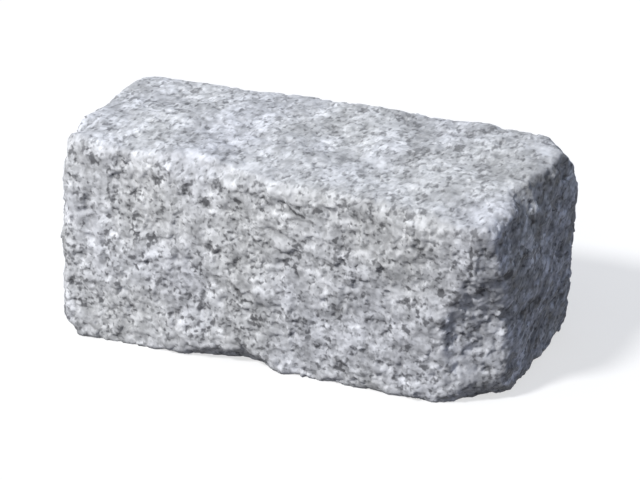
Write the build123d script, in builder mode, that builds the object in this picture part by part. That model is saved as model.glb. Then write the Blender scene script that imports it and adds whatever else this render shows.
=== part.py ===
"""A granite Belgian block: one stone, split by hand out of a slab, lying on its bed.

X runs along the block, Y from its front to its back, and Z up. The origin is on the bed,
in the middle of the block's length and width.
"""

import os
from math import ceil, cos, pi, sin, sqrt

from build123d import *

os.makedirs("parts", exist_ok=True)

# The block between the mean planes of its faces, in millimetres
length = 228.0
width = 102.0
height = 102.0

# The rough stock around the block, which the splitting takes off
stock_allowance = 14.0
sheet_overhang = 6.0

# The swells that a split leaves on a face: their height, and how far apart they are both ways
swell_height = 0.9
swell_length = 84.0
swell_width = 58.0

# The smaller lumps between the swells: their height and spacing, and the ways in which their
# three waves run, as shares of half a turn
lump_height = 0.17
lump_spacing = 40.0
lump_turn_shares = (0.07, 0.38, 0.71)

# How far each face leans out at its far edges, twists out at a corner and bows out in its middle.
# The phase, in radians, sets where its swells fall. A minus leans, twists or bows it the other way.
top_rise_left = 1.0
top_rise_front = 0.3
top_twist = 2.2
top_bow_along = 1.0
top_bow_across = 1.0
top_phase = 1.6
front_out_right = -2.5
front_out_bed = 0.5
front_twist = 3.0
front_bow_along = 0.5
front_bow_up = 0.5
front_phase = 1.1
back_out_right = 6.0
back_out_bed = 0.5
back_twist = -0.8
back_bow_along = 2.0
back_bow_up = 0.5
back_phase = 2.1
right_out_back = 0.5
right_out_bed = -1.0
right_twist = 0.8
right_bow_across = 2.0
right_bow_up = 3.0
right_phase = 0.7
left_out_front = -0.5
left_out_bed = -0.5
left_twist = -0.8
left_bow_across = 0.5
left_bow_up = 0.5
left_phase = 2.9

# The spalled arrises: how wide each bevel is, and where along its arris it is laid out, as shares
bevel_place_shares = (0.0, 0.25, 0.5, 0.75, 1.0)
upright_arris_bevel = 5.0
top_arris_bevel = 3.0
bed_arris_bevel = 2.0

# The flake that came off the lower half of the front right arris
corner_scar_radius = 120.0
corner_scar_depth = 16.5
corner_scar_bulb = 46.0
corner_scar_feather = 160.0
corner_scar_height = 40.0
corner_scar_turn_share = 0.57
corner_scar_lean_share = 0.13

# The wall of the step at its left, where the flake broke off short
step_wall_radius = 40.0
step_wall_depth = 16.0
step_wall_bulb = 40.0
step_wall_feather = 120.0
step_wall_height = 44.0
step_wall_setback = 9.0
step_wall_stand_out = 10.0

# The narrower flake above it, which runs up to the top and faces more to the front
shoulder_scar_radius = 60.0
shoulder_scar_depth = 6.0
shoulder_scar_bulb = 48.0
shoulder_scar_feather = 45.0
shoulder_scar_height = 60.0
shoulder_scar_turn_share = 0.45

# The flake under them, which took the corner of the bed
heel_scar_radius = 24.0
heel_scar_depth = 1.0
heel_scar_reach = 34.0
heel_scar_setback = 15.0

# The flake off the front edge of the bed
bed_scar_radius = 26.0
bed_scar_depth = 6.5
bed_scar_bulb = 15.0
bed_scar_feather = 34.0
bed_scar_offset = 12.0

# The long bevel along the front edge of the top
bevel_scar_radius = 60.0
bevel_scar_depth = 4.0
bevel_scar_bulb = 30.0
bevel_scar_feather = 50.0
bevel_scar_offset = 38.0

# The smaller flakes along the arrises: how deep they go past the bevel, and how far along its
# arris each one is, as a share from the left, the front or the bed
chip_radius = 50.0
chip_depth = 1.6
chip_bulb = 14.0
chip_feather = 24.0
front_top_chip_shares = (0.88,)
back_top_chip_shares = (0.25,)
right_top_chip_shares = (0.35,)
left_back_chip_shares = (0.55,)
back_bed_chip_shares = (0.28, 0.7)
left_bed_chip_shares = (0.6,)
right_bed_chip_shares = (0.55,)

# The corners that were knocked blunt
knock_radius = 120.0
knock_reach = 34.0
right_back_top_knock = 5.6
left_front_top_knock = 3.0
left_front_bed_knock = 4.5
left_back_bed_knock = 5.0


def split_sheet(plane, spans, leans, bows, twist, phase):
    """A split through the stock, as a smooth sheet that faces into the stone.

    It lies about the plane, which spans the face across and up. At the far edges it leans out by
    the two leans and is twisted out at one corner. It bows out both ways, and swells all over,
    with smaller lumps on the swells.
    """
    half_across = spans[0] / 2
    half_up = spans[1] / 2
    reach_across = half_across + stock_allowance + sheet_overhang
    reach_up = half_up + stock_allowance + sheet_overhang
    columns = 2 * ceil(6 * reach_across / lump_spacing) + 1
    rows = 2 * ceil(6 * reach_up / lump_spacing) + 1

    def lift(across, up):
        share_across = across / half_across
        share_up = up / half_up
        lean = leans[0] * share_across + leans[1] * share_up + twist * share_across * share_up
        bow = bows[0] * cos(pi / 2 * share_across) + bows[1] * cos(pi / 2 * share_up)
        swell = sin(2 * pi * across / swell_length + phase) * cos(2 * pi * up / swell_width + phase)
        cross_swell = cos(2 * pi * across / swell_width - phase) * sin(2 * pi * up / swell_length - phase)
        lumps = 0
        for wave, turn_share in enumerate(lump_turn_shares):
            along_wave = across * cos(pi * turn_share) + up * sin(pi * turn_share)
            lumps += sin(2 * pi * along_wave / lump_spacing + (wave + 2) * phase)
        return lean + bow + swell_height * (swell + cross_swell / 2) + lump_height * lumps

    points = []
    for row in range(rows):
        up = reach_up * (2 * row / (rows - 1) - 1)
        points.append([])
        for column in range(columns):
            across = reach_across * (2 * column / (columns - 1) - 1)
            points[row].append(plane.from_local_coords(Vector(across, up, lift(across, up))))
    return Face.make_surface_from_array_of_points(points)


def bevel_sheet(arris, outward, bevel):
    """The break along an arris, as a sheet that faces into the stone.

    It follows the bow of the arris but not its lumps, so the bevel is wide here and narrow there.
    """
    run = (arris @ 1 - arris @ 0).normalized()
    away = Vector(*outward)
    away = (away - run * away.dot(run)).normalized()
    across = run.cross(away) * stock_allowance
    beyond = run * stock_allowance
    line = [arris @ share - away * (bevel / sqrt(2)) for share in bevel_place_shares]
    line = [line[0] - beyond, *line, line[-1] + beyond]
    rails = [Edge.make_spline([place + across * side for place in line]) for side in (-1, 1)]
    return Face.make_surface_from_curves(*rails)


def flake(arris_point, outward, along, radius, depth, bulb, feather):
    """The stone that a hammer blow takes off round a point of an arris, as a solid to cut away.

    Its round side goes depth deep under the point. It is fattest there, and draws in to nothing
    over the bulb on one side of the blow and over the feather on the other.
    """
    with BuildPart() as cutter:
        with BuildSketch(Plane.XZ):
            with BuildLine():
                bulb_side = TangentArc((radius, 0), (radius - depth, bulb), tangent=(0, 1))
                feather_side = TangentArc((radius, 0), (radius - depth, -feather), tangent=(0, -1))
                Polyline(bulb_side @ 1, (0, bulb), (0, -feather), feather_side @ 1)
            make_face()
        revolve(axis=Axis.Z)
    away = Vector(*outward).normalized()
    centre = Vector(*arris_point) + away * (radius - depth)
    return Plane(origin=centre, x_dir=away, z_dir=Vector(*along)).location * cutter.part


top = Plane(origin=(0, 0, height), x_dir=(1, 0, 0), z_dir=(0, 0, 1))
front = Plane(origin=(0, -width / 2, height / 2), x_dir=(1, 0, 0), z_dir=(0, -1, 0))
back = Plane(origin=(0, width / 2, height / 2), x_dir=(-1, 0, 0), z_dir=(0, 1, 0))
right = Plane(origin=(length / 2, 0, height / 2), x_dir=(0, 1, 0), z_dir=(1, 0, 0))
left = Plane(origin=(-length / 2, 0, height / 2), x_dir=(0, -1, 0), z_dir=(-1, 0, 0))

top_leans = (-top_rise_left, -top_rise_front)
front_leans = (front_out_right, -front_out_bed)
back_leans = (-back_out_right, -back_out_bed)
right_leans = (right_out_back, -right_out_bed)
left_leans = (left_out_front, -left_out_bed)

top_bows = (top_bow_along, top_bow_across)
front_bows = (front_bow_along, front_bow_up)
back_bows = (back_bow_along, back_bow_up)
right_bows = (right_bow_across, right_bow_up)
left_bows = (left_bow_across, left_bow_up)

split_sheets = [
    split_sheet(top, (length, width), top_leans, top_bows, top_twist, top_phase),
    split_sheet(front, (length, height), front_leans, front_bows, front_twist, front_phase),
    split_sheet(back, (length, height), back_leans, back_bows, back_twist, back_phase),
    split_sheet(right, (width, height), right_leans, right_bows, right_twist, right_phase),
    split_sheet(left, (width, height), left_leans, left_bows, left_twist, left_phase),
]

corner_blow = flake(
    (length / 2, -width / 2, corner_scar_height),
    (corner_scar_turn_share, -1, 0),
    (0, corner_scar_lean_share, 1),
    corner_scar_radius,
    corner_scar_depth,
    corner_scar_bulb,
    corner_scar_feather,
)
step_wall = flake(
    (length / 2 - step_wall_setback, -width / 2 - step_wall_stand_out, step_wall_height),
    (1, 0, 0),
    (0, 0, 1),
    step_wall_radius,
    step_wall_depth,
    step_wall_bulb,
    step_wall_feather,
)
with BuildPart() as corner_scar:
    add(corner_blow)
    add(step_wall, mode=Mode.INTERSECT)
shoulder_scar = flake(
    (length / 2, -width / 2, shoulder_scar_height),
    (shoulder_scar_turn_share, -1, 0),
    (0, 0, 1),
    shoulder_scar_radius,
    shoulder_scar_depth,
    shoulder_scar_bulb,
    shoulder_scar_feather,
)
heel_scar = flake(
    (length / 2 - heel_scar_setback, heel_scar_setback - width / 2, 0),
    (1, -1, -1),
    (1, 1, 0),
    heel_scar_radius,
    heel_scar_depth,
    heel_scar_reach,
    heel_scar_reach,
)
bed_scar = flake(
    (-bed_scar_offset, -width / 2, 0),
    (0, -1, -1),
    (1, 0, 0),
    bed_scar_radius,
    bed_scar_depth,
    bed_scar_bulb,
    bed_scar_feather,
)
bevel_scar = flake(
    (-bevel_scar_offset, -width / 2, height),
    (0, -1, 1),
    (-1, 0, 0),
    bevel_scar_radius,
    bevel_scar_depth,
    bevel_scar_bulb,
    bevel_scar_feather,
)
with BuildPart() as split_stone:
    Box(
        length + 2 * stock_allowance,
        width + 2 * stock_allowance,
        height + stock_allowance,
        align=(Align.CENTER, Align.CENTER, Align.MIN),
    )
    for sheet in split_sheets:
        split(bisect_by=sheet, keep=Keep.TOP)

top_arrises = split_stone.faces().sort_by(Axis.Z)[-1].edges()
bed_arrises = split_stone.faces().sort_by(Axis.Z)[0].edges()
uprights = split_stone.edges().sort_by(Axis.Z)[4:8]
left_uprights = uprights.sort_by(Axis.X)[:2].sort_by(Axis.Y)
right_uprights = uprights.sort_by(Axis.X)[2:].sort_by(Axis.Y)

bevel_sheets = [
    bevel_sheet(left_uprights[0], (-1, -1, 0), upright_arris_bevel),
    bevel_sheet(left_uprights[1], (-1, 1, 0), upright_arris_bevel),
    bevel_sheet(right_uprights[0], (1, -1, 0), upright_arris_bevel),
    bevel_sheet(right_uprights[1], (1, 1, 0), upright_arris_bevel),
]
for arrises, side_z, bevel in [(top_arrises, 1, top_arris_bevel), (bed_arrises, -1, bed_arris_bevel)]:
    bevel_sheets += [
        bevel_sheet(arrises.sort_by(Axis.X)[0], (-1, 0, side_z), bevel),
        bevel_sheet(arrises.sort_by(Axis.X)[-1], (1, 0, side_z), bevel),
        bevel_sheet(arrises.sort_by(Axis.Y)[0], (0, -1, side_z), bevel),
        bevel_sheet(arrises.sort_by(Axis.Y)[-1], (0, 1, side_z), bevel),
    ]

chips = []
for arris, outward, run, bevel, shares in [
    (top_arrises.sort_by(Axis.Y)[0], (0, -1, 1), (1, 0, 0), top_arris_bevel, front_top_chip_shares),
    (top_arrises.sort_by(Axis.Y)[-1], (0, 1, 1), (1, 0, 0), top_arris_bevel, back_top_chip_shares),
    (top_arrises.sort_by(Axis.X)[-1], (1, 0, 1), (0, 1, 0), top_arris_bevel, right_top_chip_shares),
    (left_uprights[1], (-1, 1, 0), (0, 0, 1), upright_arris_bevel, left_back_chip_shares),
    (bed_arrises.sort_by(Axis.Y)[-1], (0, 1, -1), (1, 0, 0), bed_arris_bevel, back_bed_chip_shares),
    (bed_arrises.sort_by(Axis.X)[0], (-1, 0, -1), (0, 1, 0), bed_arris_bevel, left_bed_chip_shares),
    (bed_arrises.sort_by(Axis.X)[-1], (1, 0, -1), (0, 1, 0), bed_arris_bevel, right_bed_chip_shares),
]:
    depth = chip_depth + bevel / sqrt(2)
    for share in shares:
        runs_back = (arris % share).dot(Vector(*run)) < 0
        struck_point = arris @ (1 - share if runs_back else share)
        chips.append(flake(struck_point, outward, run, chip_radius, depth, chip_bulb, chip_feather))

knocks = []
for side_x, side_y, side_z, depth in [
    (1, 1, 1, right_back_top_knock),
    (-1, -1, 1, left_front_top_knock),
    (-1, -1, -1, left_front_bed_knock),
    (-1, 1, -1, left_back_bed_knock),
]:
    corner = (side_x * length / 2, side_y * width / 2, height * (1 + side_z) / 2)
    outward = (side_x, side_y, side_z)
    along = (side_y, -side_x, 0)
    knocks.append(flake(corner, outward, along, knock_radius, depth, knock_reach, knock_reach))

with BuildPart() as granite_block:
    add(split_stone.part)
    for sheet in bevel_sheets:
        split(bisect_by=sheet, keep=Keep.TOP)
    for scar in [corner_scar.part, shoulder_scar, heel_scar, bed_scar, bevel_scar] + chips + knocks:
        add(scar, mode=Mode.SUBTRACT)

# The swells leave the block a little off centre, so its own middle goes to the origin
extent = granite_block.part.bounding_box()
granite_block.part = Pos(-extent.center().X, -extent.center().Y, 0) * granite_block.part

granite_block.part.label = "granite_block"
export_step(granite_block.part, "parts/granite_block.step")
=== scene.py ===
# %% [markdown]
# # A granite belgian block
# A belgian block is a paving stone that a mason splits off a bench of granite with hammer and
# wedge. Nothing on it is sawn or polished: every face is a split, every arris is broken, and the
# whole look comes from two things, the relief of the break and the crystals that it shows.
# The solid of the stone is already made, at its real size. This lesson gives it its skin: a dense
# mesh carved by Geometry Nodes, and a granite grown from the same crystals as the relief.

# %% Load the frame
import math

import bmesh
import bpy
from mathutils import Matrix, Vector
from mathutils.bvhtree import BVHTree


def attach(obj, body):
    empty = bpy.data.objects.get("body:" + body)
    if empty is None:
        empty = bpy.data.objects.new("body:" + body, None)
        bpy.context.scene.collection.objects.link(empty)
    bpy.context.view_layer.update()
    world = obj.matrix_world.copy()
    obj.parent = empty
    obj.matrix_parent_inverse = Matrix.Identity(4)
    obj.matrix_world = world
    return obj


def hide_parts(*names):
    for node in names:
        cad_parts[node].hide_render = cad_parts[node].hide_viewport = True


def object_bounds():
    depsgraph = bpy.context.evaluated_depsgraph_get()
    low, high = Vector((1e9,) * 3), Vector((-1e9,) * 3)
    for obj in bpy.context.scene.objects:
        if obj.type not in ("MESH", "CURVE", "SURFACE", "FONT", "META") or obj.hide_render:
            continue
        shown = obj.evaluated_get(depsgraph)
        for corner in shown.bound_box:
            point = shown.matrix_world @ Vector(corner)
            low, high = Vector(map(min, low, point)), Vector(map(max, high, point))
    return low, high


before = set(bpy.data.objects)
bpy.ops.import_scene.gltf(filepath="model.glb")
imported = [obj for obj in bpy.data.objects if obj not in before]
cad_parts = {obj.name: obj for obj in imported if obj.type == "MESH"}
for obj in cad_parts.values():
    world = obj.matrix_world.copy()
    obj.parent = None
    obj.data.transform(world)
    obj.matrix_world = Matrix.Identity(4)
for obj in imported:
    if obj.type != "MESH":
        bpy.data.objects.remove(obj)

solid_low, solid_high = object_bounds()
MM = 0.001
print("solid of the stone, mm:", [round(side / MM, 1) for side in solid_high - solid_low])

# %% [markdown]
# ## The camera
# The stone is seen from far off through a long lens, so its long face, its top and its right end
# show with hardly any perspective. A camera is easiest to place by the angle it looks from: a
# turn round the stone, a height above the floor, and a distance to a target inside the stone.
# The lens then only sets how much of the picture the stone fills.

# %% Place the camera
camera_turn = math.radians(24.73)
camera_height = math.radians(26.35)
camera_distance = 1978 * MM
camera_target = Vector((1.4, 0, 49.7)) * MM
camera_lens_mm = 225
sensor_width_mm = 36
picture_width, picture_height = 640, 480

toward_camera = Vector((
    math.sin(camera_turn) * math.cos(camera_height),
    -math.cos(camera_turn) * math.cos(camera_height),
    math.sin(camera_height),
))
camera_data = bpy.data.cameras.new("camera")
camera_data.sensor_width = sensor_width_mm
camera_data.lens = camera_lens_mm
camera = bpy.data.objects.new("camera", camera_data)
camera.location = camera_target + toward_camera * camera_distance
camera.rotation_mode = "QUATERNION"
camera.rotation_quaternion = (-toward_camera).to_track_quat("-Z", "Y")
bpy.context.scene.collection.objects.link(camera)
bpy.context.scene.camera = camera
print("camera at", [round(part, 3) for part in camera.location])

# %% [markdown]
# ## Helpers for node trees
# Shader trees and geometry trees are built alike: add a node, set its settings, give each input
# a value or a link. `put` adds any node. `calc` adds a Math node and hands back its result, so a
# formula reads from the inside out, and `ease` maps one range to another without corners.

# %% Node helpers
def put(tree, kind, sockets=None, **settings):
    """Adds a node. sockets maps an input's name or number to a value or to another output."""
    node = tree.nodes.new(kind)
    for name, value in settings.items():
        setattr(node, name, value)
    for key, value in (sockets or {}).items():
        if isinstance(value, bpy.types.NodeSocket):
            tree.links.new(value, node.inputs[key])
        else:
            node.inputs[key].default_value = value
    return node


def calc(tree, operation, *values):
    """A Math node's result."""
    return put(tree, "ShaderNodeMath", dict(enumerate(values)), operation=operation).outputs[0]


def total(tree, *values):
    """The sum of two or more values."""
    result = values[0]
    for value in values[1:]:
        result = calc(tree, "ADD", result, value)
    return result


def product(tree, *values):
    """The product of two or more values."""
    result = values[0]
    for value in values[1:]:
        result = calc(tree, "MULTIPLY", result, value)
    return result


def vector_calc(tree, operation, first, second):
    """A Vector Math node's result. With SCALE, second is a number."""
    second_socket = "Scale" if operation == "SCALE" else 1
    node = put(tree, "ShaderNodeVectorMath", {0: first, second_socket: second}, operation=operation)
    return node.outputs["Value" if operation in ("DOT_PRODUCT", "DISTANCE") else "Vector"]


def ease(tree, value, low, high, to_low=0.0, to_high=1.0):
    """Value eased from low..high to to_low..to_high, and held outside."""
    sockets = {0: value, 1: low, 2: high, 3: to_low, 4: to_high}
    return put(tree, "ShaderNodeMapRange", sockets, interpolation_type="SMOOTHSTEP").outputs[0]


print("node helpers ready")

# %% [markdown]
# ## Patterns that fill space
# Colour and relief both come from patterns in space, so they run on round an arris, as real stone
# does. A picture on each face would be another way, and it would show a seam at every arris. Two
# patterns are enough: a cloudy noise, and a packing of cells. Both take the size of what they
# draw, in metres, so that a crystal can be held against a real one. Each cell brings a colour of
# its own, whose three parts serve as three random numbers.

# %% Noise and cells
def per_metre(tree, size):
    """A pattern's scale, from the size of what it draws: a number or another output."""
    if isinstance(size, bpy.types.NodeSocket):
        return calc(tree, "DIVIDE", 1.0, size)
    return 1 / size


def noise(tree, places, size, detail=2.0, roughness=0.5):
    """A cloudy noise about 0.5, whose blobs are about size across. The node itself."""
    return put(tree, "ShaderNodeTexNoise", {
        "Vector": places, "Scale": per_metre(tree, size), "Detail": detail, "Roughness": roughness})


def packing(tree, places, size):
    """A packing of cells that are about size across. The node itself."""
    return put(tree, "ShaderNodeTexVoronoi", {"Vector": places, "Scale": per_metre(tree, size)})


def parts(tree, value):
    """The three parts of a vector or of a colour."""
    return put(tree, "ShaderNodeSeparateXYZ", {0: value}).outputs


print("patterns ready")

# %% [markdown]
# ## The crystals
# Granite is three minerals grown into each other: pale feldspar that makes most of it, grey
# glassy quartz between, and black mica, which grew last and so lies in thin flakes along the
# borders of the other two. Cells are a good crystal packing, and a noise that bends the
# coordinates first takes the ruler out of them. This stone's crystals are half as long again
# across the block, so the places are squeezed that way. Mica is a fine noise that gets past a
# level, and a slower noise under it makes the flakes crowd together. The same functions serve the
# relief and the colour: a flake that looks black also lies in its own small groove.

# %% Crystal pattern
crystal_size = 2.9 * MM
grain_stretch = (1.0, 0.66, 1.0)
crystal_bend, bend_size = 1.2 * MM, 2.6 * MM
flake_size, cluster_size = 2.3 * MM, 8 * MM
cluster_weight = 0.75
mica_range = (0.52, 0.77)
noise_middle = 0.5


def stretched(tree, places):
    """Places squeezed across the block, so that crystals come out longer that way."""
    return vector_calc(tree, "MULTIPLY", places, grain_stretch)


def bent_places(tree, places):
    """Places pushed about by a noise, so that crystals get uneven outlines."""
    push = noise(tree, places, bend_size, detail=1.0).outputs["Color"]
    push = vector_calc(tree, "SUBTRACT", push, (noise_middle, noise_middle, noise_middle))
    return vector_calc(tree, "ADD", places, vector_calc(tree, "SCALE", push, crystal_bend))


def mica_level(tree, places, bent):
    """How near a place is to a flake of mica. Flakes crowd together in clusters."""
    flakes = noise(tree, bent, flake_size, detail=1.0).outputs[0]
    cluster = noise(tree, places, cluster_size, detail=3.0, roughness=0.6).outputs[0]
    cluster = total(tree, cluster, -noise_middle)
    return total(tree, flakes, product(tree, cluster, cluster_weight))


print("crystals are about", round(crystal_size / MM, 1), "mm across")

# %% [markdown]
# ## Feldspar
# Feldspar makes most of the stone, in tones from milk white to grey. Each crystal cleaves at its
# own angle and so has its own tone, and a cloud inside the crystals keeps them from looking like
# tiles. The minerals go on as layers, each over the last by its share, as a glaze does.

# %% Tones of feldspar
feldspar_dark, feldspar_pale = 0.53, 0.83
cloud_size = 3.4 * MM
cell_weight, cloud_weight, cloud_level = 0.2, 2.0, -0.56


def over(tree, under, layer, share, blend_type="MIX"):
    """The layer laid over what is under it, by its share."""
    sockets = {0: share, 6: under, 7: layer}
    return put(tree, "ShaderNodeMix", sockets, data_type="RGBA", blend_type=blend_type).outputs[2]


def grey(tree, value):
    """The grey of a value."""
    return put(tree, "ShaderNodeCombineXYZ", {0: value, 1: value, 2: value}).outputs[0]


def feldspar(tree, bent, chance):
    """The ground colour: each crystal's own tone, and a cloud in it."""
    cloud = noise(tree, bent, cloud_size, detail=1.0).outputs[0]
    level = total(tree, product(tree, chance, cell_weight), product(tree, cloud, cloud_weight),
                  cloud_level)
    return grey(tree, ease(tree, level, 0.0, 1.0, feldspar_dark, feldspar_pale))


print("feldspar runs from", feldspar_dark, "to", feldspar_pale)

# %% [markdown]
# ## Quartz
# Quartz is clear and glassy, so on a split it reads as grey: it shows the dark inside of the
# stone. It fills what the feldspar left, in grains with soft borders, which a noise past a level
# gives. On the top, which wear has rubbed, quartz and mica show a little less. `fresh` stands for
# that share from here on: 1 on a fresh split, and less on the worn top.

# %% Quartz layer
quartz_grey = (0.35, 0.35, 0.35, 1)
quartz_size = 3.0 * MM
quartz_range, quartz_share = (0.50, 0.70), 0.70


def quartz(tree, colour, bent, fresh):
    """Quartz over the feldspar. The new colour, and the pattern of the quartz."""
    pattern = noise(tree, bent, quartz_size, detail=1.0).outputs[0]
    share = product(tree, ease(tree, pattern, *quartz_range, 0.0, quartz_share), fresh)
    return over(tree, colour, quartz_grey, share), pattern


print("quartz grains are about", round(quartz_size / MM, 1), "mm across")

# %% [markdown]
# ## Mica and pepper
# Black mica is what makes granite look like salt and pepper. It comes in two sizes here: flakes
# of a millimetre or two, nearly black, and a fine grey pepper that lies only near them. A pit
# shows more mica and a bruise shows less, and a crowd mark raises the level round a spot of the
# stone where the specks crowd together, or lowers it for a pale patch.

# %% Mica layers
pepper_grey = (0.30, 0.30, 0.30, 1)
pepper_size = 1.6 * MM
pepper_range, pepper_near_mica, pepper_share = (0.46, 0.74), (0.39, 0.59), 0.54
mica_black = (0.14, 0.14, 0.145, 1)
mica_share = 0.92
mica_in_marks = {"pit": 0.07, "bruise": -0.14, "crowd": 0.17}


def pepper_and_mica(tree, colour, places, bent, fresh, marks):
    """Pepper, then mica, over the quartz. The new colour, and the pattern of the mica."""
    level = mica_level(tree, places, bent)
    for name, weight in mica_in_marks.items():
        level = total(tree, level, product(tree, marks[name], weight))
    pepper = ease(tree, noise(tree, bent, pepper_size, detail=1.0).outputs[0], *pepper_range)
    near_mica = ease(tree, level, *pepper_near_mica)
    colour = over(tree, colour, pepper_grey, product(tree, pepper, near_mica, pepper_share))
    mica = ease(tree, level, *mica_range)
    return over(tree, colour, mica_black, product(tree, mica, fresh, mica_share)), mica


print("mica flakes are about", round(flake_size / MM, 1), "mm across")

# %% [markdown]
# ## Broad tones
# Step back from a granite and its crystals blend into slow lights and darks. A noise as wide as
# a thumb gives them over the whole stone. The right end was split along the grain, so it shows
# slanting streaks and bolder blotches. A Mapping node turns and stretches the pattern for the
# streaks. Its type is TEXTURE, because that one stretches along the slant, where POINT would
# stretch first and turn after.

# %% Streaks, blotches and broad tones
plain_white = (1, 1, 1, 1)
streak_slant = (math.radians(-58), 0, 0)
streak_length = (1, 1, 2.2)
streak_size, blotch_size, broad_size = 3.4 * MM, 12 * MM, 12 * MM
streak_tones = (0.34, 0.68, 0.56, 1.56)
blotch_tones = (0.34, 0.66, 0.70, 1.28)
broad_tones = (0.3, 0.7, 0.70, 1.15)
crowd_shade = -0.11


def toned(tree, colour, tone):
    """The colour made darker or paler by a tone, where 1 leaves it."""
    return over(tree, colour, grey(tree, tone), 1.0, "MULTIPLY")


def broad_shades(tree, colour, whole_places, places, marks):
    """Streaks and blotches on the end, and broad tones everywhere."""
    slanting = put(tree, "ShaderNodeMapping", {
        "Vector": whole_places, "Rotation": streak_slant, "Scale": streak_length},
        vector_type="TEXTURE").outputs[0]
    streaks = noise(tree, slanting, streak_size, detail=2.0, roughness=0.6).outputs[0]
    blotches = noise(tree, whole_places, blotch_size, detail=3.0, roughness=0.6).outputs[0]
    streaks = ease(tree, streaks, *streak_tones)
    end_tone = product(tree, streaks, ease(tree, blotches, *blotch_tones))
    end_tone = over(tree, plain_white, grey(tree, end_tone), marks["end"])
    colour = over(tree, colour, end_tone, 1.0, "MULTIPLY")
    broad = noise(tree, places, broad_size, detail=3.0).outputs[0]
    colour = toned(tree, colour, ease(tree, broad, *broad_tones))
    # darker where specks crowd, and painted shade where a crowd mark lies on the shaded lower right
    # undercut
    return toned(tree, colour, total(tree, 1.0, product(tree, marks["crowd"], crowd_shade)))


print("broad tones run from", broad_tones[2], "to", broad_tones[3])

# %% [markdown]
# ## Bruises, and painted shade in hollows
# Where a hammer or a neighbour struck, the crystals are crushed to a white powder that hides the
# mica. Crests catch such knocks too, so a point that stands proud of the stone round it is whiter.
# Hollows, pits, cracks and sunk places are painted darker: this is painted shade, for the shade
# that falls in them. How far a point stands proud is measured on the finished mesh further on and
# comes here as the attributes `crest` and `proud`.

# %% Wear layers and painted shade
bruise_white = (0.90, 0.90, 0.90, 1)
hollow_shade = (0.60, 0.60, 0.60, 1)
crest_heights, crest_whiteness = (0.5 * MM, 1.6 * MM), 0.1
powder_over_quartz = (0.35, 0.60, 0.75, 0.35)
sunk_depths, sunk_most = (-0.02 * MM, -0.22 * MM), 0.6
shade_share = 0.3


def knocks_and_painted_shade(tree, colour, quartz_pattern, marks):
    """White powder on bruises and crests, and painted shade in hollows."""
    crest = ease(tree, marks["crest"], *crest_heights, 0.0, crest_whiteness)
    powder = calc(tree, "MAXIMUM", marks["bruise"], crest)
    powder = product(tree, powder, ease(tree, quartz_pattern, *powder_over_quartz))
    colour = over(tree, colour, bruise_white, powder)
    # painted shade: sunk places, pits, hollows and cracks are made darker, as shade would make them
    sunk = ease(tree, marks["proud"], *sunk_depths, 0.0, sunk_most)
    sunk = product(tree, calc(tree, "MAXIMUM", marks["pit"], sunk), shade_share)
    return over(tree, colour, hollow_shade, sunk, "MULTIPLY")


print("a crest is", round(crest_heights[0] / MM, 1), "mm proud or more")

# %% [markdown]
# ## The slow change along the block
# No stone is one colour from end to end. This one is paler toward its left end, and it drifts
# between a warm and a cool white over a hand's width. Both changes are so slow that they go on
# last, over everything.

# %% Slow tints
along_from, along_to = -110 * MM, 110 * MM
along_tones = (1.08, 0.93)
warm_tint = (0.995, 1.0, 1.0, 1)
cool_tint = (0.975, 0.985, 1.025, 1)
tint_size, tint_range = 60 * MM, (0.35, 0.65)


def slow_tints(tree, colour, whole_places):
    """Paler to the left, and a drift between warm and cool."""
    along = parts(tree, whole_places)["X"]
    colour = toned(tree, colour, ease(tree, along, along_from, along_to, *along_tones))
    drift = noise(tree, whole_places, tint_size, detail=1.0).outputs[0]
    tint = over(tree, warm_tint, cool_tint, ease(tree, drift, *tint_range))
    return over(tree, colour, tint, 1.0, "MULTIPLY")


print("tones along the block:", along_tones)

# %% [markdown]
# ## The granite
# Now the layers go together into one material. The mesh carries the relief, so the bump only adds
# the grain that is finer than its triangles, and stays weak. Crystals that cleaved clean glint a
# little more than the rest, so each has a roughness of its own. The numbers that are the same all
# over the stone are written straight on the shader.

# %% Granite material
mark_names = ("pit", "bruise", "worn", "crowd", "end", "crest", "proud")
worn_fading = -0.22
fine_size = 1.3 * MM
crystal_bump, mica_bump = 0.3, -0.3
bump_strength, bump_depth = 0.09, 0.3 * MM
roughest, smoothest = 0.9, 0.65
glassiness = 1.5


def granite():
    material = bpy.data.materials.new("granite")
    material.use_nodes = True
    tree = material.node_tree
    tree.nodes.clear()
    whole_places = put(tree, "ShaderNodeTexCoord").outputs["Object"]
    places = stretched(tree, whole_places)
    bent = bent_places(tree, places)
    marks = {name: put(tree, "ShaderNodeAttribute", attribute_name=name).outputs["Fac"]
             for name in mark_names}
    fresh = total(tree, 1.0, product(tree, marks["worn"], worn_fading))
    tone_chance, gloss_chance, step_chance = parts(
        tree, packing(tree, bent, crystal_size).outputs["Color"])

    colour = feldspar(tree, bent, tone_chance)
    colour, quartz_pattern = quartz(tree, colour, bent, fresh)
    colour, mica = pepper_and_mica(tree, colour, places, bent, fresh, marks)
    colour = broad_shades(tree, colour, whole_places, places, marks)
    colour = knocks_and_painted_shade(tree, colour, quartz_pattern, marks)
    colour = slow_tints(tree, colour, whole_places)

    fine = noise(tree, bent, fine_size, detail=2.0, roughness=0.55).outputs[0]
    height = total(tree, product(tree, step_chance, crystal_bump), fine,
                   product(tree, mica, mica_bump))
    bump = put(tree, "ShaderNodeBump", {
        "Strength": bump_strength, "Distance": bump_depth, "Height": height})
    shader = put(tree, "ShaderNodeBsdfPrincipled", {
        "Base Color": colour, "Normal": bump.outputs[0], "IOR": glassiness,
        "Roughness": ease(tree, gloss_chance, 0.0, 1.0, roughest, smoothest)})
    put(tree, "ShaderNodeOutputMaterial", {"Surface": shader.outputs[0]})
    return material


granite_finish = granite()
print("granite has", len(granite_finish.node_tree.nodes), "nodes")

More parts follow.
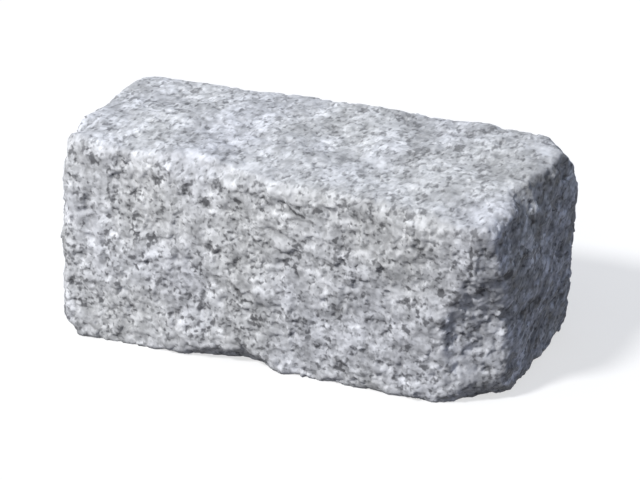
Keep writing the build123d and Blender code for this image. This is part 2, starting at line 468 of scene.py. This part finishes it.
# %% [markdown]
# ## A blank to carve
# The solid's own mesh is long thin triangles, too few to carry any relief. A voxel remesh turns
# a copy into an even skin of small quads, rounded at the arrises by about one voxel, which is
# what hammer and handling do. Subdivision would be another way, but it keeps the long triangles
# long. The copy is merged first, since its triangles are all loose.

# %% Copy the solid
voxel = 0.85 * MM
merge_distance = 0.001 * MM

stone_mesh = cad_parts["granite_block"].data.copy()
stone_mesh.materials.clear()
joined = bmesh.new()
joined.from_mesh(stone_mesh)
bmesh.ops.remove_doubles(joined, verts=joined.verts, dist=merge_distance)
joined.to_mesh(stone_mesh)
stone_surface = BVHTree.FromBMesh(joined)
joined.free()
stone = bpy.data.objects.new("split_stone", stone_mesh)
bpy.context.scene.collection.objects.link(stone)

remesh = stone.modifiers.new("even_skin", "REMESH")
remesh.mode = "VOXEL"
remesh.voxel_size = voxel
print("solid's copy has", len(stone_mesh.polygons), "triangles before the remesh")

# %% [markdown]
# ## Finding a place seen in the picture
# Some hollows, chips and cracks are plain to see, so they go where they were seen. A mark is
# written as the pixel where it shows and its size on the stone, and a ray from the camera through
# that pixel finds its place on the surface. The place is then part of the stone, whatever side it
# is looked at from.

# %% From a pixel to the stone
focal_pixels = camera_lens_mm / sensor_width_mm * picture_width
look = -toward_camera
right_hand = look.cross(Vector((0, 0, 1))).normalized()
upward = right_hand.cross(look)


def seen_at(pixel_x, pixel_y):
    """The point of the stone that shows at a pixel of the picture."""
    across = right_hand * (pixel_x - picture_width / 2)
    down = upward * (picture_height / 2 - pixel_y)
    ray = (look * focal_pixels + across + down).normalized()
    return stone_surface.ray_cast(camera.location, ray)[0]


middle_of_front = seen_at(280, 260)
print("the front's middle is at, mm:", [round(part / MM, 1) for part in middle_of_front])

# %% [markdown]
# ## Hollows and cracks
# A hollow is a place where a few crystals came away with the other half of the split, a few
# millimetres wide and less than a millimetre deep. The list says how deep each one looks, and the
# stone is carved to a third of that, because real shade, painted shade and dark mineral do the
# rest. A crack is a short dark line where the stone began to part. Both tell the material where
# they are, and the material darkens both with painted shade.

# %% Lists of hollows and cracks
# each hollow: pixel across, pixel down, radius in mm, depth in mm that it seems to have
hollows = [
    (76, 154, 3.0, 0.7), (95, 162, 3.0, 0.6), (127, 155, 3.0, 0.5), (110, 192, 2.0, 0.9),
    (119, 197, 2.5, 0.7), (94, 206, 2.5, 0.7), (152, 236, 4.5, 0.9), (147, 262, 3.5, 1.0),
    (188, 191, 3.0, 1.1), (217, 182, 3.5, 1.2), (204, 204, 2.5, 1.2), (237, 203, 4.5, 1.2),
    (209, 247, 3.5, 1.0), (231, 266, 3.0, 0.9), (238, 295, 3.5, 0.9), (133, 307, 3.5, 0.7),
    (223, 319, 4.5, 1.0), (254, 322, 4.5, 0.9), (292, 257, 4.5, 1.0), (319, 209, 4.0, 1.0),
    (327, 222, 2.5, 0.8), (368, 206, 4.0, 1.2), (408, 213, 4.5, 1.2), (416, 249, 3.0, 1.3),
    (425, 243, 2.5, 1.0), (356, 280, 3.5, 0.9), (339, 315, 4.0, 0.9), (452, 267, 1.8, 1.1),
    (508, 276, 3.0, 1.4), (426, 367, 3.5, 0.9), (342, 365, 3.0, 0.8), (424, 151, 3.5, 0.9),
    (405, 162, 3.5, 0.8), (461, 149, 4.0, 0.9), (534, 217, 5.0, 0.9), (540, 300, 5.0, 0.8),
    (555, 240, 4.0, 0.8), (482, 291, 3.0, 1.2), (505, 340, 3.5, 0.8),
]
# each crack: the pixels that it runs through
cracks = [
    [(472, 247), (470, 255), (473, 263), (470, 272), (472, 280)],
    [(278, 202), (288, 206), (295, 214), (305, 218)],
    [(236, 289), (243, 300), (253, 304)],
    [(283, 262), (296, 268), (300, 280)],
]
print(len(hollows), "hollows and", len(cracks), "cracks")

# %% [markdown]
# ## Swells, pushes and rubbed rims
# These marks are wider, and they bring the outline and the arrises to the real stone's. A swell
# lifts the skin along its normal, and a sink is a swell of minus sign. A push moves the skin
# inward along the block, for the corner of the right end that lies further back. A rubbed spot
# moves nothing by itself: there the rim is blurred until it is as round as a worn one.

# %% Lists of swells, pushes and rubbed spots
# each sink, or swell where the depth is minus: pixel across, pixel down, radius in mm, depth in mm
swells = [
    (81, 124, 12.0, 3.2), (67, 240, 14.0, -1.3), (480, 127, 14.0, -1.2), (330, 104, 12.0, 1.2),
    (565, 172, 10.0, 2.2), (509, 222, 5.0, -0.8), (295, 371, 8.0, 1.5), (413, 390, 7.0, -1.6),
    (330, 380, 6.0, 0.8), (470, 288, 6.0, 1.6), (497, 284, 5.0, 1.8), (484, 290, 4.0, 1.0),
    (466, 394, 9.0, 1.6), (484, 392, 9.0, 1.6), (500, 387, 9.0, 1.6), (566, 256, 9.0, -2.0),
    (550, 333, 9.0, -1.2),
]
# each push, where the end lies further in: pixel across, pixel down, radius in mm, push in mm
pushes = [(544, 188, 17.0, 4.2), (531, 203, 17.0, 4.2)]
# each rubbed spot, where a rim is worn rounder: pixel across, pixel down, radius in mm, share
rubbed = [
    (452, 292, 8.0, 0.9), (468, 287, 9.0, 0.9), (484, 285, 9.0, 0.9), (498, 284, 9.0, 0.9),
    (508, 298, 9.0, 0.9), (508, 314, 9.0, 0.9), (508, 330, 9.0, 0.9), (507, 346, 9.0, 0.9),
    (506, 362, 9.0, 0.8), (444, 310, 5.0, 0.5), (78, 132, 16.0, 0.8), (532, 200, 9.0, 0.8),
    (460, 388, 9.0, 0.9), (478, 385, 9.0, 0.9), (495, 381, 9.0, 0.9),
]
print(len(swells), "swells and sinks,", len(pushes), "pushes,", len(rubbed), "rubbed spots")

# %% [markdown]
# ## Crowds, pale patches and bruises
# These marks change colour more than shape. Specks of mica crowd together in some spots and leave
# others nearly white, and bruises lie mostly along the upper front arris, where the stone was
# knocked. The single specks inside a mark stay with the noise: a mark only shifts their number. A
# few crowds along the lower right arris are painted shade instead: they darken the undercut there,
# which lies in shadow.

# %% Lists of crowds and bruises
# each crowd of specks, or pale patch where the strength is minus: pixel across, pixel down,
# radius in mm, strength
crowds_and_painted_shade = [
    (96, 160, 5.0, 0.8), (70, 152, 4.0, 0.7), (127, 156, 4.0, 0.8), (112, 192, 5.0, 0.8),
    (137, 190, 4.0, 0.7), (156, 179, 5.0, 0.6), (185, 190, 5.5, 0.9), (216, 182, 4.0, 0.9),
    (205, 206, 5.0, 0.7), (238, 203, 6.0, 0.8), (246, 179, 3.5, 0.7), (95, 205, 4.0, 0.5),
    (65, 238, 3.5, 0.9), (150, 237, 5.0, 0.8), (176, 239, 5.0, 0.7), (147, 262, 4.0, 0.7),
    (210, 248, 5.0, 0.6), (232, 265, 5.0, 0.6), (190, 298, 5.5, 0.7), (160, 285, 5.0, 0.6),
    (119, 284, 5.5, 0.6), (133, 309, 5.0, 0.8), (82, 301, 4.5, 0.6), (78, 322, 4.5, 0.7),
    (104, 328, 5.0, 0.8), (122, 335, 4.5, 0.8), (141, 341, 4.5, 0.8), (238, 296, 5.0, 0.7),
    (222, 320, 5.5, 0.7), (254, 321, 6.0, 0.8), (238, 336, 5.0, 0.7), (309, 318, 5.0, 0.7),
    (292, 258, 5.5, 0.7), (320, 212, 5.5, 1.0), (343, 196, 4.0, 0.6), (372, 206, 5.0, 1.0),
    (391, 210, 5.0, 0.9), (409, 212, 5.0, 0.9), (424, 212, 4.0, 0.8), (338, 240, 4.0, 0.4),
    (419, 246, 5.0, 1.0), (355, 281, 5.5, 0.8), (340, 315, 5.5, 0.8), (346, 331, 4.0, 0.7),
    (375, 319, 5.0, 0.7), (395, 331, 4.0, 0.5), (342, 365, 4.5, 0.7), (425, 368, 5.0, 0.9),
    (411, 305, 4.0, 0.5), (471, 232, 4.5, 0.7), (475, 251, 4.5, 0.7), (442, 293, 4.0, 0.7),
    (482, 291, 6.0, 0.9), (456, 303, 6.0, 0.7), (165, 94, 5.0, 0.7), (136, 110, 5.0, 0.7),
    (113, 130, 5.0, 0.6), (170, 138, 5.0, 0.5), (281, 99, 6.0, 0.6), (308, 142, 4.0, 0.4),
    (356, 137, 4.5, 0.5), (411, 155, 7.0, 1.0), (426, 150, 5.0, 0.9), (461, 149, 6.0, 1.0),
    (471, 135, 7.0, 0.7), (500, 131, 7.0, 0.7), (490, 150, 8.0, 0.5), (491, 212, 4.0, 0.6),
    (445, 135, 7.0, 0.4), (515, 145, 7.0, 0.4), (440, 170, 6.0, 0.3), (395, 140, 6.0, 0.4),
    (191, 151, 6.0, -0.6), (206, 160, 5.0, -0.6), (251, 166, 7.0, -0.6), (290, 194, 4.0, -0.6),
    (315, 238, 4.0, -0.5), (280, 244, 5.0, -0.7), (352, 147, 5.0, -0.6), (378, 164, 6.0, -0.6),
    (440, 206, 4.5, -0.7), (443, 221, 4.5, -0.7), (427, 229, 4.0, -0.6), (400, 232, 5.0, -0.7),
    (386, 233, 4.0, -0.6), (472, 212, 5.0, -0.7), (547, 153, 7.0, -1.0), (394, 295, 7.0, -0.8),
    (101, 222, 6.0, -0.5), (205, 228, 4.0, -0.6), (180, 262, 6.0, -0.6), (151, 325, 4.0, -0.6),
    (300, 285, 5.0, -0.6), (420, 345, 6.0, -0.6), (83, 142, 7.0, 0.4), (103, 146, 5.0, 0.5),
    (195, 128, 7.0, -0.3), (302, 188, 7.0, 0.5), (332, 194, 6.0, 0.5), (234, 176, 5.0, 0.4),
    # the first five marks from here, along the lower right arris, are painted shade for the
    # undercut that lies in shadow
    (456, 387, 5.0, 0.8), (470, 389, 6.0, 1.0), (485, 387, 6.0, 1.0), (499, 382, 6.0, 1.0),
    (509, 375, 5.0, 0.8), (277, 332, 5.0, -0.5), (325, 283, 4.0, -0.4), (72, 210, 4.0, -0.4),
    (215, 283, 3.5, -0.4), (511, 247, 3.5, 1.3), (535, 219, 3.5, 1.3), (523, 257, 3.5, 1.2),
    (509, 274, 4.5, 1.6), (468, 304, 3.0, 1.2), (517, 284, 4.0, -0.9), (521, 239, 4.0, -0.8),
    (552, 229, 4.5, -0.8), (539, 300, 4.5, 1.0), (530, 330, 4.5, 0.9), (454, 267, 2.2, 2.0),
]
# each bruise: pixel across, pixel down, radius in mm, strength
bruises = [
    (190, 152, 6.0, 0.7), (206, 160, 5.0, 0.7), (251, 166, 6.0, 0.7), (290, 194, 4.0, 0.5),
    (380, 162, 6.0, 0.7), (354, 148, 4.0, 0.6), (473, 212, 5.0, 0.6), (440, 210, 5.0, 0.8),
    (396, 294, 5.0, 0.6), (398, 233, 5.0, 0.6), (443, 226, 5.0, 0.7), (420, 344, 6.0, 0.5),
    (546, 151, 7.0, 1.0), (556, 152, 4.0, 0.8), (281, 244, 4.5, 0.5), (180, 260, 5.0, 0.4),
    (205, 228, 3.5, 0.5),
]
print(len(crowds_and_painted_shade), "crowds and pale patches,", len(bruises), "bruises")

# %% [markdown]
# ## The marks as meshes
# A geometry tree can't read a Python list, but it can read a mesh. Each list becomes a small
# helper mesh with a point at each mark, and the mark's size rides on the point as an attribute.
# A crack becomes a chain of edges. The helpers are thrown away once the stone is carved.

# %% Helper meshes
def linked(name, mesh):
    """A new object of a mesh, in the scene."""
    helper = bpy.data.objects.new(name, mesh)
    bpy.context.scene.collection.objects.link(helper)
    return helper


def marks_mesh(name, marks, value_name, unit):
    """A helper object with a point at each mark, which carries its radius and its value."""
    mesh = bpy.data.meshes.new(name)
    mesh.from_pydata([seen_at(x, y) for x, y, radius, value in marks], [], [])
    radii = mesh.attributes.new("radius", "FLOAT", "POINT")
    radii.data.foreach_set("value", [radius * MM for x, y, radius, value in marks])
    values = mesh.attributes.new(value_name, "FLOAT", "POINT")
    values.data.foreach_set("value", [value * unit for x, y, radius, value in marks])
    return linked(name, mesh)


def cracks_mesh(name, lines):
    """A helper object with an edge along each stretch of crack."""
    points, edges = [], []
    for line in lines:
        edges += [(len(points) + i, len(points) + i + 1) for i in range(len(line) - 1)]
        points += [seen_at(*pixel) for pixel in line]
    mesh = bpy.data.meshes.new(name)
    mesh.from_pydata(points, edges, [])
    return linked(name, mesh)


helpers = {
    "Hollows": marks_mesh("hollow_marks", hollows, "depth", MM),
    "Swells": marks_mesh("swell_marks", swells, "depth", MM),
    "Pushes": marks_mesh("push_marks", pushes, "depth", MM),
    "Rubbed": marks_mesh("rubbed_marks", rubbed, "share", 1),
    "Crowds": marks_mesh("crowd_marks", crowds_and_painted_shade, "strength", 1),
    "Bruises": marks_mesh("bruise_marks", bruises, "strength", 1),
    "Cracks": cracks_mesh("crack_marks", cracks),
}
for name, helper in helpers.items():
    print(name.lower(), "points:", len(helper.data.vertices))

# %% [markdown]
# ## Helpers for geometry trees
# A geometry tree needs a few things that a shader tree doesn't: named inputs on the outside, a
# way to look up the nearest mark, and a way to keep a value with the mesh. Each tree here also
# ends alike. It holds every point inside the box of the solid, so that relief can never make the
# stone bigger than it is and the bed stays flat enough to lie on. Then it makes its geometry real
# and gives it the granite.

# %% Geometry helpers
def new_tree(name, inputs):
    """An empty geometry tree with a named input for each value. The tree and its inputs."""
    tree = bpy.data.node_groups.new(name, "GeometryNodeTree")
    tree.interface.new_socket("Geometry", in_out="INPUT", socket_type="NodeSocketGeometry")
    tree.interface.new_socket("Geometry", in_out="OUTPUT", socket_type="NodeSocketGeometry")
    for input_name, value in inputs.items():
        kind = {int: "Int", float: "Float"}.get(type(value), "Object")
        tree.interface.new_socket(input_name, in_out="INPUT", socket_type="NodeSocket" + kind)
    return tree, put(tree, "NodeGroupInput").outputs


def finish_tree(tree, geometry):
    """Ends a tree with real geometry, held inside the box of the solid, in the granite finish."""
    held = put(tree, "GeometryNodeInputPosition").outputs[0]
    held = vector_calc(tree, "MINIMUM", vector_calc(tree, "MAXIMUM", held, solid_low), solid_high)
    held = put(tree, "GeometryNodeSetPosition", {"Geometry": geometry, "Position": held}).outputs[0]
    real = put(tree, "GeometryNodeRealizeInstances", {0: held}).outputs[0]
    dressed = put(tree, "GeometryNodeSetMaterial", {"Geometry": real, "Material": granite_finish})
    put(tree, "NodeGroupOutput", {0: dressed.outputs[0]})


def add_tree(piece, tree, values):
    """Adds the tree as a modifier, with its inputs set by their identifiers."""
    modifier = piece.modifiers.new(tree.name, "NODES")
    modifier.node_group = tree
    for item in tree.interface.items_tree:
        if item.in_out == "INPUT" and item.name in values:
            modifier[item.identifier] = values[item.name]


def blurred(tree, value, steps):
    """A vector blurred over the mesh, from each point to its neighbours, so many times."""
    node = put(tree, "GeometryNodeBlurAttribute", {"Iterations": steps}, data_type="FLOAT_VECTOR")
    value_socket = next(
        socket for socket in node.inputs if socket.name == "Value" and socket.enabled)
    tree.links.new(value, value_socket)
    return next(socket for socket in node.outputs if socket.enabled)


def store(tree, geometry, name, value):
    """Keeps a value with the mesh, as a named attribute that the material reads."""
    return put(tree, "GeometryNodeStoreNamedAttribute", {
        "Geometry": geometry, "Name": name, "Value": value}).outputs[0]


print("geometry helpers ready")

# %% [markdown]
# ## What a mark does to a point
# Each point of the stone looks up the mark that is nearest to it and asks how far off it is. The
# answer is a share that is 1 at the mark's middle and fades to 0 at its rim. Small marks get a
# ragged rim, because crystals break off whole. Wide ones keep a smooth rim, because a ragged one
# would leave lumps on the arrises. A crack asks in the same way how far off its line is.

# %% Shares of the marks
ragged_size, ragged_least, ragged_more = 3 * MM, 0.55, 0.9
smooth_rim = 1.0
full_within = {"Hollows": 0.15, "Swells": 0.0, "Pushes": 0.0, "Rubbed": 0.3, "Bruises": 0.4,
               "Crowds": 0.2}


def nearest_mark(tree, helper, places, value_name):
    """The nearest mark of a helper object: the distance to it, its radius and its value."""
    marks = put(tree, "GeometryNodeObjectInfo", {"Object": helper}).outputs["Geometry"]
    nearest = put(tree, "GeometryNodeSampleNearest", {"Geometry": marks, "Sample Position": places})

    def sample(value, data_type):
        return put(tree, "GeometryNodeSampleIndex", {
            "Geometry": marks, "Value": value, "Index": nearest.outputs["Index"]},
            data_type=data_type).outputs["Value"]

    def carried(name):
        named = put(tree, "GeometryNodeInputNamedAttribute", {"Name": name})
        return sample(named.outputs["Attribute"], "FLOAT")

    centre = sample(put(tree, "GeometryNodeInputPosition").outputs[0], "FLOAT_VECTOR")
    distance = vector_calc(tree, "DISTANCE", places, centre)
    return distance, carried("radius"), carried(value_name)


def mark_share(tree, start, kind, value_name, places, rim):
    """A mark's share and its value: 1 near the mark's middle and 0 past its rim."""
    distance, radius, value = nearest_mark(tree, start[kind], places, value_name)
    reach = calc(tree, "DIVIDE", product(tree, distance, rim), radius)
    return ease(tree, reach, 1.0, full_within[kind]), value


def crack_share(tree, start, bent, ragged):
    """1 on a crack and 0 beside it. Its line is bent like the crystals that it runs between."""
    lines = put(tree, "GeometryNodeObjectInfo", {"Object": start["Cracks"]}).outputs["Geometry"]
    distance = put(tree, "GeometryNodeProximity", {
        0: lines, "Sample Position": bent}, target_element="EDGES").outputs["Distance"]
    return ease(tree, product(tree, distance, ragged), start["Crack width"], 0.0)


print("marks are full within, of their radius:", full_within)

# %% [markdown]
# ## Rounding
# The remeshed skin still shows the steps of its voxels, and its arrises are too sharp for a stone
# that has lain in a heap. Blurring the positions over the mesh removes both. Where a rim is
# rubbed, the skin goes part of the way to a much stronger blur.

# %% Rounded skin
def rounded_skin(tree, start, places):
    """The skin with its voxel steps blurred away, and its rubbed rims blurred further."""
    share, rubbing = mark_share(tree, start, "Rubbed", "share", places, smooth_rim)
    rounded = blurred(tree, places, start["Rounding steps"])
    rounder = vector_calc(tree, "SUBTRACT", blurred(tree, places, start["Rubbing steps"]), rounded)
    rounder = vector_calc(tree, "SCALE", rounder, product(tree, share, rubbing))
    return put(tree, "GeometryNodeSetPosition", {
        "Geometry": start["Geometry"],
        "Position": vector_calc(tree, "ADD", rounded, rounder)}).outputs[0]


print("rounding ready")

# %% [markdown]
# ## The relief of the split
# A split face has relief at every scale: lumps like a knuckle, dimples between them, hackle,
# which is the stepped, fibrous part of a break, and the facets of single crystals. Each is a
# height along the normal, and the heights add up. Hackle and facets come from cells: each cell
# is tilted its own way, so neighbours meet in little steps, which is what a cleaved crystal
# shows. In a coarser packing, about one cell in five lost a grain and is a pit.

# %% Waves, facets and pits
dimple_range = (0.50, 0.26)
facet_scale = 2.0
pit_spacing = 5.5 * MM
pit_edge = (0.42, 0.15)
pit_chance_above = 0.78


def facets(tree, places, size, slope):
    """Height of cleaved cells, each a plane tilted its own way."""
    cells = packing(tree, places, size)
    within = vector_calc(tree, "SUBTRACT", places, cells.outputs["Position"])
    tilt = vector_calc(tree, "SUBTRACT", cells.outputs["Color"],
                       (noise_middle, noise_middle, noise_middle))
    return product(tree, vector_calc(tree, "DOT_PRODUCT", within, tilt), facet_scale, slope)


def split_height(tree, start, places, bent, bent_grain):
    """Height of the split: knuckles, dimples, hackle and crystals."""
    knuckles = noise(tree, places, start["Knuckle size"], detail=3.0, roughness=0.5).outputs[0]
    knuckles = product(tree, total(tree, knuckles, -noise_middle), start["Knuckle height"])
    dimples = noise(tree, places, start["Dimple size"], detail=3.0, roughness=0.55).outputs[0]
    dimples = product(tree, ease(tree, dimples, *dimple_range), start["Dimple depth"], -1.0)
    hackle = facets(tree, bent, start["Hackle size"], start["Hackle slope"])
    cleaved = facets(tree, bent_grain, crystal_size, start["Crystal slope"])
    return total(tree, start["Mean lift"], knuckles, dimples, hackle, cleaved)


def pit_share(tree, bent_grain):
    """1 in the middle of a pit, and 0 outside."""
    cells = packing(tree, bent_grain, pit_spacing)
    chance = parts(tree, cells.outputs["Color"])[0]
    inside = ease(tree, cells.outputs["Distance"], *pit_edge)
    return product(tree, inside, calc(tree, "GREATER_THAN", chance, pit_chance_above))


print("pits are about", round(pit_spacing / MM, 1), "mm apart where they come")

# %% [markdown]
# ## The sizes of the relief
# Every size of the carving is an input of its tree, with a plain name, so each can be tried in
# Blender's modifier panel without reading the tree. Sizes, heights and depths are in metres. The
# helper meshes are inputs too.

# %% Inputs of the relief
relief_values = {
    "Rounding steps": 8,
    "Rubbing steps": 60,
    "Mean lift": 0.5 * MM,
    "Knuckle height": 2.2 * MM,
    "Knuckle size": 12 * MM,
    "Dimple depth": 1.5 * MM,
    "Dimple size": 7 * MM,
    "Hackle size": 8 * MM,
    "Hackle slope": 0.11,
    "Crystal slope": 0.10,
    "Mica depth": 0.08 * MM,
    "Pit depth": 0.5 * MM,
    "Hollow share": 0.35,
    "Crack width": 1.2 * MM,
    "Crack depth": 0.6 * MM,
    "Crack mica": 1.2,
    "Worn top share": 0.45,
    **helpers,
}
print("relief inputs:", sorted(relief_values))

# %% [markdown]
# ## Carving the stone
# One tree puts it all together. The top is worn, so it keeps only part of the relief. How far a
# point faces up or to the right tells the top and the right end from the rest. The tree also
# keeps five values with the mesh for the material to read: bruises, crowds (some of them painted
# shade), the worn top, the right end, and whatever is sunk, which the granite darkens as painted
# shade.

# %% Relief tree
worn_facing, end_facing = (0.5, 0.9), (0.4, 0.9)


def relief_tree():
    tree, start = new_tree("split_relief", relief_values)
    places = put(tree, "GeometryNodeInputPosition").outputs[0]
    normal = put(tree, "GeometryNodeInputNormal").outputs[0]
    bent = bent_places(tree, places)
    grain = stretched(tree, places)
    bent_grain = bent_places(tree, grain)
    ragged = noise(tree, places, ragged_size, detail=2.0).outputs[0]
    ragged = total(tree, ragged_least, product(tree, ragged, ragged_more))
    skin = rounded_skin(tree, start, places)

    hollow, hollow_depth = mark_share(tree, start, "Hollows", "depth", places, ragged)
    swell, swell_depth = mark_share(tree, start, "Swells", "depth", places, smooth_rim)
    pushed, push = mark_share(tree, start, "Pushes", "depth", places, smooth_rim)
    bruise, bruise_strength = mark_share(tree, start, "Bruises", "strength", places, ragged)
    crowd, crowd_and_shade_strength = mark_share(tree, start, "Crowds", "strength", places, ragged)
    crack = crack_share(tree, start, bent, ragged)
    pit = pit_share(tree, bent_grain)
    mica = ease(tree, mica_level(tree, grain, bent_grain), *mica_range)

    facing = parts(tree, normal)
    worn = ease(tree, facing["Z"], *worn_facing)
    kept_share = total(tree, 1.0, product(tree, worn, start["Worn top share"], -1.0))
    height = total(
        tree,
        product(tree, split_height(tree, start, places, bent, bent_grain), kept_share),
        product(tree, mica, start["Mica depth"], -1.0),
        product(tree, pit, start["Pit depth"], -1.0),
        product(tree, hollow, hollow_depth, start["Hollow share"], -1.0),
        product(tree, swell, swell_depth, -1.0),
        product(tree, crack, start["Crack depth"], -1.0),
    )
    kept_values = {
        "bruise": product(tree, bruise, bruise_strength),
        # crowds of specks, and the crowd marks that are painted shade on the lower right arris
        "crowd": total(tree, product(tree, crowd, crowd_and_shade_strength),
                       product(tree, crack, start["Crack mica"])),
        "worn": worn,
        "end": ease(tree, facing["X"], *end_facing),
        # pits, hollows and cracks: the granite shows more mica in them and darkens them as painted
        # shade
        "pit": calc(tree, "MAXIMUM", pit, calc(tree, "MAXIMUM", hollow, crack)),
    }
    for name, value in kept_values.items():
        skin = store(tree, skin, name, value)
    inward = put(tree, "ShaderNodeCombineXYZ", {"X": product(tree, pushed, push, -1.0)}).outputs[0]
    offset = vector_calc(tree, "ADD", vector_calc(tree, "SCALE", normal, height), inward)
    carved = put(tree, "GeometryNodeSetPosition", {"Geometry": skin, "Offset": offset})
    finish_tree(tree, carved.outputs[0])
    return tree


add_tree(stone, relief_tree(), relief_values)
print("modifiers so far:", [modifier.name for modifier in stone.modifiers])

# %% [markdown]
# ## Thinning the flat places
# The voxels are finer than the mesh that is kept in the end. After the carving, a Decimate
# modifier spends its triangles where the skin is rough and saves them where it is smooth, which
# keeps more relief than coarser voxels would with as many triangles.

# %% Thin the skin
triangle_limit = 190000
bpy.context.view_layer.update()
dense = stone.evaluated_get(bpy.context.evaluated_depsgraph_get()).data
dense_triangles = sum(len(polygon.vertices) - 2 for polygon in dense.polygons)
thin = stone.modifiers.new("thin", "DECIMATE")
thin.ratio = min(1.0, triangle_limit / dense_triangles)
print("dense skin, triangles:", dense_triangles)

# %% [markdown]
# ## Measuring the wear, and what is sunk for painted shade
# Wear finds what stands proud, and painted shade darkens what is sunk. A point less the blurred
# skin under it is how far it stands proud: a short blur finds single crystals, a long one finds
# crests and arrises. It is measured after the thinning, on the mesh that is kept, and each of the
# two becomes an attribute that the granite reads.

# %% Wear and shade tree
wear_and_shade_steps = {"Near steps": 8, "Far steps": 90}


def wear_and_shade_tree():
    """Keeps with each point how far it stands proud of the stone close by, and further off."""
    tree, start = new_tree("stone_wear_and_shade", wear_and_shade_steps)
    places = put(tree, "GeometryNodeInputPosition").outputs[0]
    normal = put(tree, "GeometryNodeInputNormal").outputs[0]
    geometry = start["Geometry"]
    for name, steps in (("proud", start["Near steps"]), ("crest", start["Far steps"])):
        above = vector_calc(tree, "SUBTRACT", places, blurred(tree, places, steps))
        geometry = store(tree, geometry, name, vector_calc(tree, "DOT_PRODUCT", above, normal))
    finish_tree(tree, geometry)
    return tree


add_tree(stone, wear_and_shade_tree(), wear_and_shade_steps)
print("modifiers on the stone:", [modifier.name for modifier in stone.modifiers])

# %% [markdown]
# ## Keeping the result
# So far the stone is a recipe of four modifiers. `new_from_object` on the evaluated object turns
# it into a plain mesh, which any program can read, and the recipe and the helpers can go. Smooth
# shading suits it, because its steps are real geometry and hardly a millimetre apart.

# %% Plain mesh
bpy.context.view_layer.update()
stone.data = bpy.data.meshes.new_from_object(
    stone.evaluated_get(bpy.context.evaluated_depsgraph_get()))
stone.modifiers.clear()
stone.data.shade_smooth()
for helper in helpers.values():
    bpy.data.objects.remove(helper)
kept_triangles = sum(len(polygon.vertices) - 2 for polygon in stone.data.polygons)
print("kept skin, triangles:", kept_triangles)
print("values kept with it:", [attribute.name for attribute in stone.data.attributes])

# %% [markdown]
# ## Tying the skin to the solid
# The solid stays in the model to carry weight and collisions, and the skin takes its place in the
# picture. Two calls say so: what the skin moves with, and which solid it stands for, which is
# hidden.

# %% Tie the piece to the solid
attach(stone, "root")
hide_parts("granite_block")
print("split_stone stands for granite_block")

# %% [markdown]
# ## The floor
# The stone lies on a plain floor that looks white and still takes its shadow. A white floor would
# throw much light back up under the stone, so the floor's own colour is dark to light that
# bounces, and only rays that show the background see it pale, with a glow that brings it up to
# white. A shadow then takes away only the part that comes from the lamps.

# %% Floor
floor_half = 3.0
floor_unseen = (0.07, 0.07, 0.08, 1)
floor_seen = (0.40, 0.40, 0.40, 1)
floor_glow = 0.64

floor_mesh = bpy.data.meshes.new("floor")
floor_mesh.from_pydata(
    [(-floor_half, -floor_half, 0), (floor_half, -floor_half, 0),
     (floor_half, floor_half, 0), (-floor_half, floor_half, 0)], [], [(0, 1, 2, 3)])
floor = linked("floor", floor_mesh)


def seen_ray(tree):
    """1 on a ray that shows the background: from the camera, a reflection or through glass."""
    path = put(tree, "ShaderNodeLightPath").outputs
    return calc(tree, "MAXIMUM", path["Is Camera Ray"],
                calc(tree, "MAXIMUM", path["Is Glossy Ray"], path["Is Transmission Ray"]))


def floor_finish():
    material = bpy.data.materials.new("floor_white")
    material.use_nodes = True
    tree = material.node_tree
    tree.nodes.clear()
    seen = seen_ray(tree)
    matt = put(tree, "ShaderNodeBsdfDiffuse", {"Color": over(tree, floor_unseen, floor_seen, seen)})
    glow = put(tree, "ShaderNodeEmission", {
        "Color": plain_white, "Strength": product(tree, seen, floor_glow)})
    both = put(tree, "ShaderNodeAddShader", {0: matt.outputs[0], 1: glow.outputs[0]})
    put(tree, "ShaderNodeOutputMaterial", {"Surface": both.outputs[0]})
    return material


floor_mesh.materials.append(floor_finish())
print("floor is", 2 * floor_half, "m wide")

# %% [markdown]
# ## The light
# The stone was seen under one main light, high on the left and in front, with a little blue from
# the open sky. Three suns and a dim blue world give that: a sun that looks as wide as a window
# makes a soft shadow, and one that looks as wide as half the sky is a fill without a shadow of
# its own. The right end faces away from the main light, and the fills alone show it.

# %% World and lamps
sky_unseen = (0.092, 0.099, 0.154, 1)
# each lamp: where it comes from, its strength, how many degrees wide it looks, and its colour
lamps = {
    "key": ((-0.30, -0.60, 0.745), 2.85, 9, (1.0, 0.995, 0.985)),
    "front_fill": ((-0.35, -0.85, 0.40), 0.94, 100, (0.92, 0.93, 0.93)),
    "overhead": ((0.0, 0.0, 1.0), 0.35, 140, (0.5, 0.75, 1.0)),
}

world = bpy.data.worlds.new("studio")
bpy.context.scene.world = world
world.use_nodes = True
world_tree = world.node_tree
world_tree.nodes.clear()
sky = over(world_tree, sky_unseen, plain_white, seen_ray(world_tree))
shine = put(world_tree, "ShaderNodeBackground", {"Color": sky, "Strength": 1.0})
put(world_tree, "ShaderNodeOutputWorld", {"Surface": shine.outputs[0]})

for name, (comes_from, energy, width, colour) in lamps.items():
    lamp_data = bpy.data.lights.new(name, "SUN")
    lamp_data.energy = energy
    lamp_data.angle = math.radians(width)
    lamp_data.color = colour
    lamp = linked(name, lamp_data)
    lamp.rotation_mode = "QUATERNION"
    lamp.rotation_quaternion = Vector(comes_from).to_track_quat("Z", "Y")
bpy.context.scene.view_settings.view_transform = "Standard"
print("lamps:", list(lamps))
